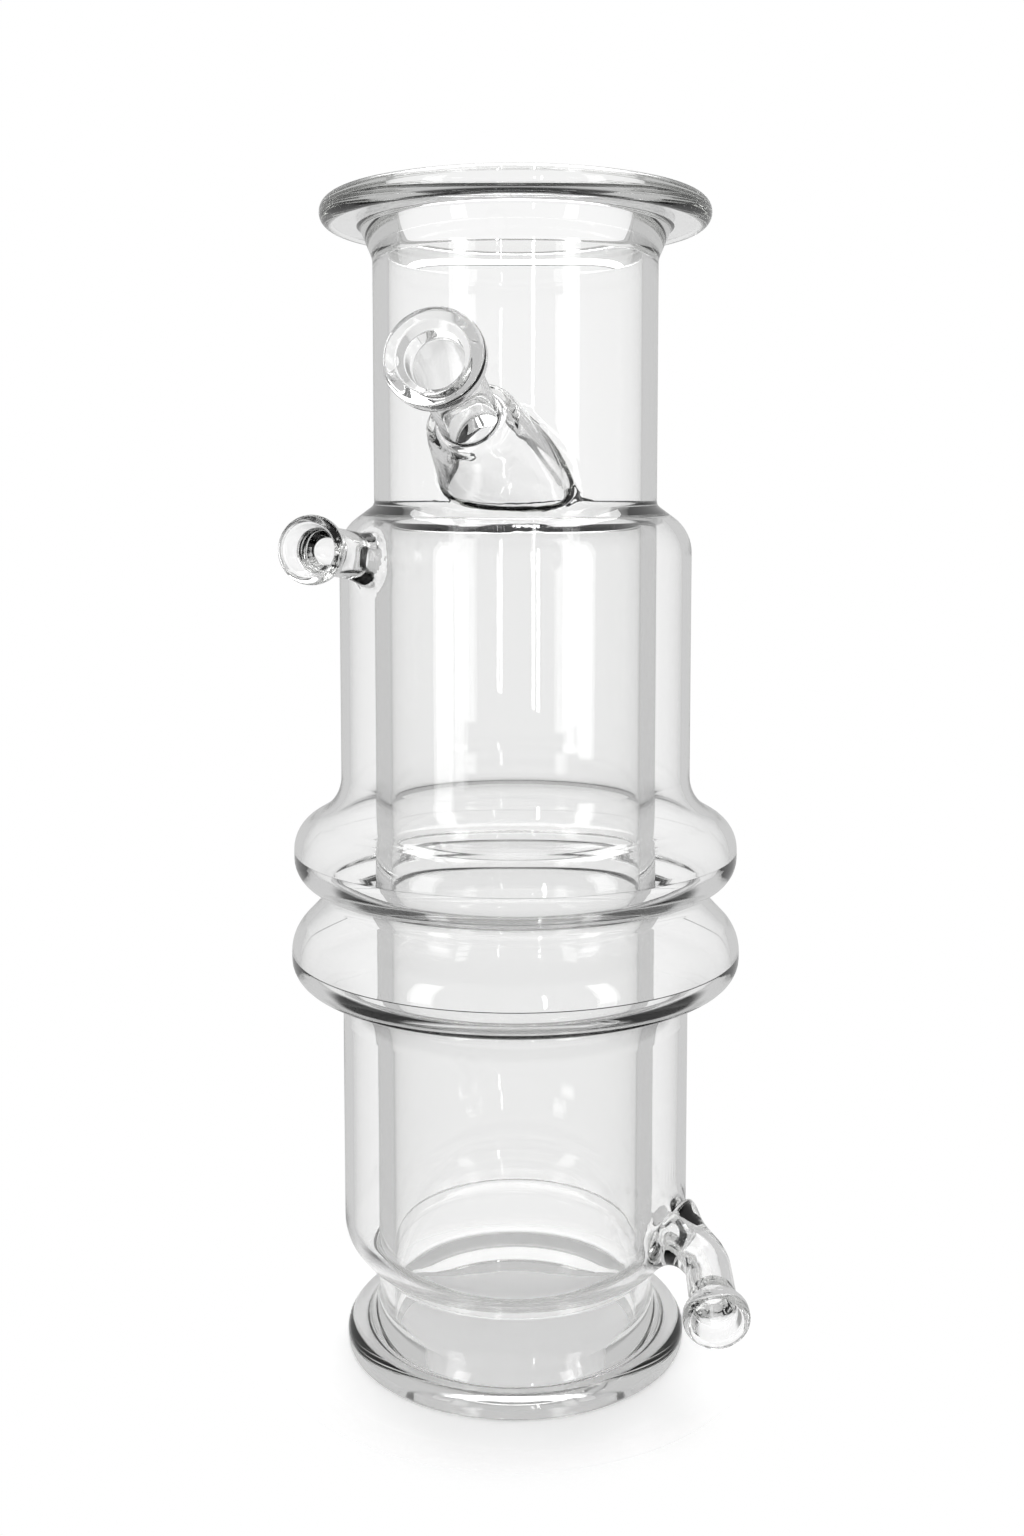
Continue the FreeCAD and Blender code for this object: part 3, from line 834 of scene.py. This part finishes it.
def lower_port() -> Branch:
    """Port on the right, at the foot of the jacket, with a widely melted seam."""
    line = Bend(skin=69.8, around=61.0, height=57.7, heading=61.0, rise=-27.0, roll=174.8,
                run=9.0, bend=60.7, bend_radius=12.0, tail=18.8)
    return jacket_port(line, foot_radius=17.0, foot_length=9.0, foot_rounding=12.0,
                       seam_span=26.0, seam_reach=10.0, seam_passes=12)


# Finishes


def linear(code: str) -> tuple[float, float, float, float]:
    """Turn an sRGB hex colour into linear values, by the sRGB standard's curve.

    Args:
        code: the colour, such as #FAFAFA.

    Returns:
        Red, green, blue and full opacity.
    """
    shares = [int(code[start:start + 2], 16) / 255.0 for start in (1, 3, 5)]
    red, green, blue = (share / 12.92 if share <= 0.04045 else ((share + 0.055) / 1.055) ** 2.4
                        for share in shares)
    return (red, green, blue, 1.0)


def add_node(tree: bpy.types.NodeTree, kind: str, settings: dict[str, object] | None = None,
             values: dict[str, object] | None = None,
             links: dict[str, bpy.types.NodeSocket] | None = None) -> bpy.types.Node:
    """Add one node with its settings, socket values and incoming links.

    Args:
        tree: the node tree.
        kind: the node's type name.
        settings: attributes of the node.
        values: values of its input sockets by name or number.
        links: output sockets that feed its inputs.

    Returns:
        The node.
    """
    node = tree.nodes.new(kind)
    for name, value in (settings or {}).items():
        setattr(node, name, value)
    for name, value in (values or {}).items():
        node.inputs[name].default_value = value
    for name, socket in (links or {}).items():
        tree.links.new(socket, node.inputs[name])
    return node


def math_node(tree: bpy.types.NodeTree, operation: str, first: bpy.types.NodeSocket,
              second: bpy.types.NodeSocket | float) -> bpy.types.NodeSocket:
    """Work out one value from two.

    Args:
        tree: the node tree.
        operation: name of the calculation.
        first: output with the first value.
        second: output with the second value, or a plain number.

    Returns:
        The output with the result.
    """
    node = add_node(tree, "ShaderNodeMath", {"operation": operation}, links={0: first})
    if isinstance(second, float):
        node.inputs[1].default_value = second
    else:
        tree.links.new(second, node.inputs[1])
    return node.outputs[0]


def blend(tree: bpy.types.NodeTree, value: bpy.types.NodeSocket, start: float, end: float,
          before: float, after: float) -> bpy.types.NodeSocket:
    """Pass smoothly from one strength to another over a range of a value.

    Args:
        tree: the node tree.
        value: the output that decides.
        start: where the change starts.
        end: where it ends.
        before: strength up to the start.
        after: strength from the end on.

    Returns:
        The output with the strength.
    """
    node = add_node(tree, "ShaderNodeMapRange", {"interpolation_type": "SMOOTHSTEP"}, {
        "From Min": start, "From Max": end, "To Min": before, "To Max": after}, {"Value": value})
    return node.outputs["Result"]


@dataclass(frozen=True)
class BorosilicateGlass:
    """Clear borosilicate glass, drawn and blown, fire-polished.

    It is almost colourless: only the thick stretches, such as flanges seen
    edge on, grow slightly darker and warmer. The skin is mirror-smooth, with
    the long, shallow waves that drawing leaves along the tube.

    Attributes:
        tint: colour of the surface.
        depth_tint: colour that light takes on in the glass.
        absorption: how fast it does, per metre.
        ior: refractive index of borosilicate glass.
        wave_width: distance of the waves round the tube, in millimetres.
        wave_length: their distance along it.
        wave_height: their height.
        wave_detail: how many finer sets of waves lie on them.
        wave_roughness: how strong the finer waves are.
    """

    name: str = "Borosilicate glass, fire-polished"
    tint: str = "#FEFEFE"
    depth_tint: str = "#DDDEDB"
    absorption: float = 9.0
    ior: float = 1.473
    roughness: float = 0.0
    wave_width: float = 30.0
    wave_length: float = 130.0
    wave_height: float = 0.05
    wave_detail: float = 1.5
    wave_roughness: float = 0.4

    def build(self) -> bpy.types.Material:
        """Make the material."""
        material = bpy.data.materials.new(self.name)
        material.use_nodes = True
        tree = material.node_tree
        tree.nodes.clear()
        across, along = 1.0 / (self.wave_width * MM), 1.0 / (self.wave_length * MM)
        place = add_node(tree, "ShaderNodeTexCoord")
        stretched = add_node(tree, "ShaderNodeMapping", values={"Scale": (across, across, along)},
                             links={"Vector": place.outputs["Object"]})
        waves = add_node(tree, "ShaderNodeTexNoise", values={
            "Scale": 1.0, "Detail": self.wave_detail, "Roughness": self.wave_roughness},
            links={"Vector": stretched.outputs["Vector"]})
        relief = add_node(tree, "ShaderNodeBump", values={
            "Strength": 1.0, "Distance": self.wave_height * MM},
            links={"Height": waves.outputs["Fac"]})
        glass = add_node(tree, "ShaderNodeBsdfPrincipled", values={
            "Base Color": linear(self.tint), "Roughness": self.roughness, "IOR": self.ior,
            "Transmission Weight": 1.0}, links={"Normal": relief.outputs["Normal"]})
        depth = add_node(tree, "ShaderNodeVolumeAbsorption", values={
            "Color": linear(self.depth_tint), "Density": self.absorption})
        add_node(tree, "ShaderNodeOutputMaterial", links={
            "Surface": glass.outputs["BSDF"], "Volume": depth.outputs["Volume"]})
        return material


@dataclass(frozen=True)
class PaperFloor:
    """Matt white paper under the vessel, which fades into the white sweep.

    Attributes:
        colour: colour of the paper.
        glow: what makes up for the room's dim light where the paper is seen.
        full_radius: radius up to which it is solid, in millimetres.
        fade_radius: radius from which on it can't be seen.
    """

    name: str = "Paper, matt white"
    colour: str = "#FAFAFA"
    glow: float = 0.3
    full_radius: float = 74.0
    fade_radius: float = 112.0

    def build(self) -> bpy.types.Material:
        """Make the material, which keeps the vessel's soft shadow."""
        material = bpy.data.materials.new(self.name)
        material.use_nodes = True
        tree = material.node_tree
        tree.nodes.clear()
        place = add_node(tree, "ShaderNodeTexCoord")
        radius = add_node(tree, "ShaderNodeVectorMath", {"operation": "LENGTH"},
                          links={0: place.outputs["Object"]})
        fade = blend(tree, radius.outputs["Value"],
                     self.full_radius * MM, self.fade_radius * MM, 0.0, 1.0)
        paper = add_node(tree, "ShaderNodeBsdfDiffuse", values={"Color": linear(self.colour)})
        white = add_node(tree, "ShaderNodeEmission", values={"Color": linear("#FFFFFF")}, links={
            "Strength": math_node(tree, "MULTIPLY", seen_directly(tree), self.glow)})
        lit = add_node(tree, "ShaderNodeAddShader", links={0: paper.outputs[0], 1: white.outputs[0]})
        clear = add_node(tree, "ShaderNodeBsdfTransparent")
        both = add_node(tree, "ShaderNodeMixShader", links={
            0: fade, 1: lit.outputs[0], 2: clear.outputs[0]})
        add_node(tree, "ShaderNodeOutputMaterial", links={"Surface": both.outputs[0]})
        return material


def seen_directly(tree: bpy.types.NodeTree) -> bpy.types.NodeSocket:
    """One where a camera, glossy or transmitted ray sees the surface, else nothing."""
    rays = add_node(tree, "ShaderNodeLightPath")
    eye = math_node(tree, "MAXIMUM", rays.outputs["Is Camera Ray"], rays.outputs["Is Glossy Ray"])
    return math_node(tree, "MAXIMUM", eye, rays.outputs["Is Transmission Ray"])


# The glass


class GlassReactor:
    """The whole vessel as one fused piece of glass."""

    node = "reactor_vessel"
    slot = "borosilicate_glass"

    def __init__(self, height: float) -> None:
        """Set out the shell and its branches.

        Args:
            height: from the lower flange's face to the upper one's.
        """
        self.shell = Shell(height)
        self.feed = feed_nozzle()
        self.ports = (upper_port(), lower_port())

    def build(self) -> bpy.types.Object:
        """Blow the vessel and dress it.

        Returns:
            The finished piece, at the origin and in metres.
        """
        glass = self.shell.blank()
        for branch in (self.feed, *self.ports):
            glass = joined(glass, branch.body(), Joining.ADD)
        bore = joined(self.shell.bore_tool(), self.feed.hollow(), Joining.ADD)
        space = self.shell.space_tool()
        for port in self.ports:
            space = joined(space, port.hollow(), Joining.ADD)
        for hollow in (bore, space):
            glass = joined(glass, hollow, Joining.CUT)
        for branch in (self.feed, *self.ports):
            branch.seam().melt(glass)
        return self._finish(glass)

    def _finish(self, mesh: bmesh.types.BMesh) -> bpy.types.Object:
        """Scale the mesh to metres, smooth its shading and give it its glass."""
        bmesh.ops.scale(mesh, vec=(MM, MM, MM), verts=mesh.verts)
        for face in mesh.faces:
            face.smooth = True
        piece = as_object(mesh, "fused_glass_vessel")
        weighted = piece.modifiers.new("even_shading", "WEIGHTED_NORMAL")
        weighted.mode = "FACE_AREA_WITH_ANGLE"
        weighted.weight = 50
        piece.data.materials.append(BorosilicateGlass().build())
        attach(piece, "root")
        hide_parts(self.node)
        return piece


# Studio


@dataclass(frozen=True)
class Viewpoint:
    """Camera in front of the vessel, looking slightly down.

    Attributes:
        distance: from the vessel's axis, in millimetres.
        height: above the table, in millimetres.
        pitch: how far it looks down, in degrees.
        focal_pixels: focal length in pixels of the full picture.
        middle_column: column of the picture that the camera is aimed at.
        middle_row: row of the picture that it is aimed at.
        width: columns of the full picture.
        rows: rows of the full picture.
        sensor: width of the sensor, in millimetres.
        nearest: distance from which on things are seen, in metres.
        furthest: distance up to which they are seen, in metres.
    """

    distance: float = 626.5
    height: float = 339.0
    pitch: float = 4.8
    focal_pixels: float = 1570.0
    middle_column: float = 515.5
    middle_row: float = 640.0
    width: int = 1024
    rows: int = 1536
    sensor: float = 36.0
    nearest: float = 0.02
    furthest: float = 50.0

    def place(self) -> bpy.types.Object:
        """Put the camera into the scene and make it the one in use."""
        data = bpy.data.cameras.new("front_camera")
        data.sensor_width = self.sensor
        data.lens = self.focal_pixels / self.rows * self.sensor
        data.shift_x = (self.width / 2.0 - self.middle_column) / self.rows
        data.shift_y = (self.middle_row - self.rows / 2.0) / self.rows
        data.clip_start, data.clip_end = self.nearest, self.furthest
        camera = bpy.data.objects.new("front_camera", data)
        camera.location = (0.0, -self.distance * MM, self.height * MM)
        camera.rotation_euler = Euler((math.radians(90.0 - self.pitch), 0.0, 0.0))
        bpy.context.scene.collection.objects.link(camera)
        bpy.context.scene.camera = camera
        return camera


@dataclass(frozen=True)
class Softbox:
    """Rectangular lamp behind a diffuser, aimed at the vessel.

    Attributes:
        name: name of the lamp.
        heading: compass direction from the front, in degrees.
        elevation: angle above the level, in degrees.
        reach: distance from the point that it is aimed at, in metres.
        width: width of the lamp, in metres.
        height: height of the lamp, in metres.
        power: light, in watts.
        aim: height of the point that it is aimed at, in metres.
    """

    name: str
    heading: float
    elevation: float
    reach: float
    width: float
    height: float
    power: float
    aim: float = 0.23

    def place(self) -> bpy.types.Object:
        """Hang the lamp and aim it."""
        data = bpy.data.lights.new(self.name, "AREA")
        data.shape = "RECTANGLE"
        data.size, data.size_y = self.width, self.height
        data.energy = self.power
        lamp = bpy.data.objects.new(self.name, data)
        turn, up = math.radians(self.heading - 90.0), math.radians(self.elevation)
        offset = Vector((math.cos(turn) * math.cos(up), math.sin(turn) * math.cos(up), math.sin(up)))
        lamp.location = Vector((0.0, 0.0, self.aim)) + offset * self.reach
        lamp.rotation_euler = (-offset).to_track_quat("-Z", "Y").to_euler()
        bpy.context.scene.collection.objects.link(lamp)
        return lamp


@dataclass(frozen=True)
class Fade:
    """Change of a strength between two angles.

    Attributes:
        start: angle where the change starts, in degrees.
        end: angle where it ends.
        before: strength on the side of the start.
        after: strength on the side of the end.
    """

    start: float
    end: float
    before: float
    after: float


@dataclass(frozen=True)
class Room:
    """Light from round about, which draws the edges of the clear glass.

    Looking through the glass shows a white sweep in front, behind and at both
    sides, with dimmer corners between them and a dim ceiling and table. A
    reflection shows a dimmer room, dark below. The background itself is white.

    Attributes:
        corners: strength by the angle from the nearest of the four sides.
        steep: strength by the angle above or below the level.
        table: strength of reflections by their height, near the table.
        ceiling: the same, near the ceiling.
    """

    corners: Fade = Fade(38.0, 31.0, 0.34, 1.0)
    steep: Fade = Fade(46.0, 58.0, 1.0, 0.25)
    table: Fade = Fade(-39.0, -32.0, 0.02, 0.62)
    ceiling: Fade = Fade(44.0, 56.0, 1.0, 0.35)

    def build(self) -> bpy.types.World:
        """Make the world and use it in the scene."""
        world = bpy.data.worlds.new("studio_room")
        world.use_nodes = True
        tree = world.node_tree
        tree.nodes.clear()
        height, beside = self._angles(tree)
        steep = add_node(tree, "ShaderNodeMath", {"operation": "ABSOLUTE"}, links={0: height})
        sweep = math_node(tree, "MULTIPLY",
                          self._strength(tree, beside, self.corners, cosine),
                          self._strength(tree, steep.outputs[0], self.steep, sine))
        wall = math_node(tree, "MULTIPLY",
                         self._strength(tree, height, self.table, sine),
                         self._strength(tree, height, self.ceiling, sine))
        rays = add_node(tree, "ShaderNodeLightPath")
        reflected = math_node(tree, "MINIMUM", rays.outputs["Glossy Depth"], 1.0)
        either = add_node(tree, "ShaderNodeMix", {"data_type": "FLOAT"}, links={
            "Factor": reflected, "A": sweep, "B": wall})
        strength = math_node(tree, "MAXIMUM", either.outputs[0], rays.outputs["Is Camera Ray"])
        light = add_node(tree, "ShaderNodeBackground", values={"Color": linear("#FFFFFF")},
                         links={"Strength": strength})
        add_node(tree, "ShaderNodeOutputWorld", links={"Surface": light.outputs[0]})
        bpy.context.scene.world = world
        return world

    @staticmethod
    def _angles(tree: bpy.types.NodeTree) -> tuple[bpy.types.NodeSocket, bpy.types.NodeSocket]:
        """Outputs with the sine of the height and the cosine of the way to the nearest side."""
        way = add_node(tree, "ShaderNodeTexCoord").outputs["Generated"]
        parts = add_node(tree, "ShaderNodeSeparateXYZ", links={0: way})
        level = add_node(tree, "ShaderNodeVectorMath", {"operation": "MULTIPLY"},
                         {1: (1.0, 1.0, 0.0)}, {0: way})
        length = add_node(tree, "ShaderNodeVectorMath", {"operation": "LENGTH"},
                          links={0: level.outputs[0]})
        sides = [add_node(tree, "ShaderNodeMath", {"operation": "ABSOLUTE"},
                          links={0: parts.outputs[number]}).outputs[0] for number in (0, 1)]
        larger = math_node(tree, "MAXIMUM", *sides)
        return parts.outputs[2], math_node(tree, "DIVIDE", larger, length.outputs["Value"])

    @staticmethod
    def _strength(tree: bpy.types.NodeTree, value: bpy.types.NodeSocket, fade: Fade,
                  measure: Callable[[float], float]) -> bpy.types.NodeSocket:
        """Output of a fade over a sine or cosine."""
        return blend(tree, value, measure(fade.start), measure(fade.end), fade.before, fade.after)


class Studio:
    """White paper, soft lamps and a pale room with darker corners."""

    floor_radius = 114.0
    floor_drop = 0.2
    floor_segments = 96

    def __init__(self) -> None:
        """Choose the lamps."""
        self.lamps = (
            Softbox("left_softbox", heading=-46.0, elevation=12.0, reach=1.6,
                    width=0.35, height=1.3, power=4.0),
            Softbox("right_softbox", heading=45.0, elevation=14.0, reach=1.6,
                    width=0.3, height=1.3, power=3.6),
            Softbox("window_slit", heading=14.0, elevation=8.0, reach=1.8,
                    width=0.05, height=0.9, power=1.6),
            Softbox("overhead_softbox", heading=180.0, elevation=70.0, reach=1.3,
                    width=1.2, height=0.8, power=12.0),
        )

    def build(self) -> None:
        """Set up the floor, the room's light and the lamps."""
        self._floor()
        Room().build()
        for lamp in self.lamps:
            lamp.place()

    def _floor(self) -> None:
        """Round paper floor under the vessel."""
        mesh = bmesh.new()
        bmesh.ops.create_circle(mesh, cap_ends=True, segments=self.floor_segments,
                                radius=self.floor_radius * MM)
        bmesh.ops.translate(mesh, verts=mesh.verts, vec=(0.0, 0.0, -self.floor_drop * MM))
        floor = as_object(mesh, "paper_floor")
        floor.data.materials.append(PaperFloor().build())
        floor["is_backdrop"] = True


def sine(degrees: float) -> float:
    """Sine of an angle in degrees."""
    return math.sin(math.radians(degrees))


def cosine(degrees: float) -> float:
    """Cosine of an angle in degrees."""
    return math.cos(math.radians(degrees))


def set_up_render(scene: bpy.types.Scene, walls: int = 18, mirrors: int = 10) -> None:
    """Use plain colours and let light through many walls of glass.

    Args:
        scene: the scene.
        walls: how many surfaces of glass light may pass.
        mirrors: how many times it may be reflected.
    """
    scene.view_settings.view_transform = "Standard"
    scene.cycles.max_bounces = walls
    scene.cycles.transmission_bounces = walls
    scene.cycles.glossy_bounces = mirrors
    scene.cycles.use_denoising = True


def note_size(when: str, sizes: dict[str, list[list[float]]]) -> None:
    """Keep the whole object's box as plain numbers under a name.

    Args:
        when: the name.
        sizes: where it is kept.
    """
    low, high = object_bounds()
    sizes[when] = [[float(value) for value in low], [float(value) for value in high]]


def main() -> None:
    """Build the vessel and its studio, and report each piece."""
    logging.basicConfig(level=logging.INFO, format="%(name)s: %(message)s")
    sizes: dict[str, list[list[float]]] = {}
    note_size("cad_box", sizes)
    low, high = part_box(GlassReactor.node)
    reactor = GlassReactor(round((high[2] - low[2]) / MM, 1))
    piece = reactor.build()
    LOG.info("%s: %d faces", piece.name, len(piece.data.polygons))
    Studio().build()
    Viewpoint().place()
    set_up_render(bpy.context.scene)
    note_size("visual_box", sizes)
    LOG.info("boxes: %s", sizes)


if __name__ == "__main__":
    main()
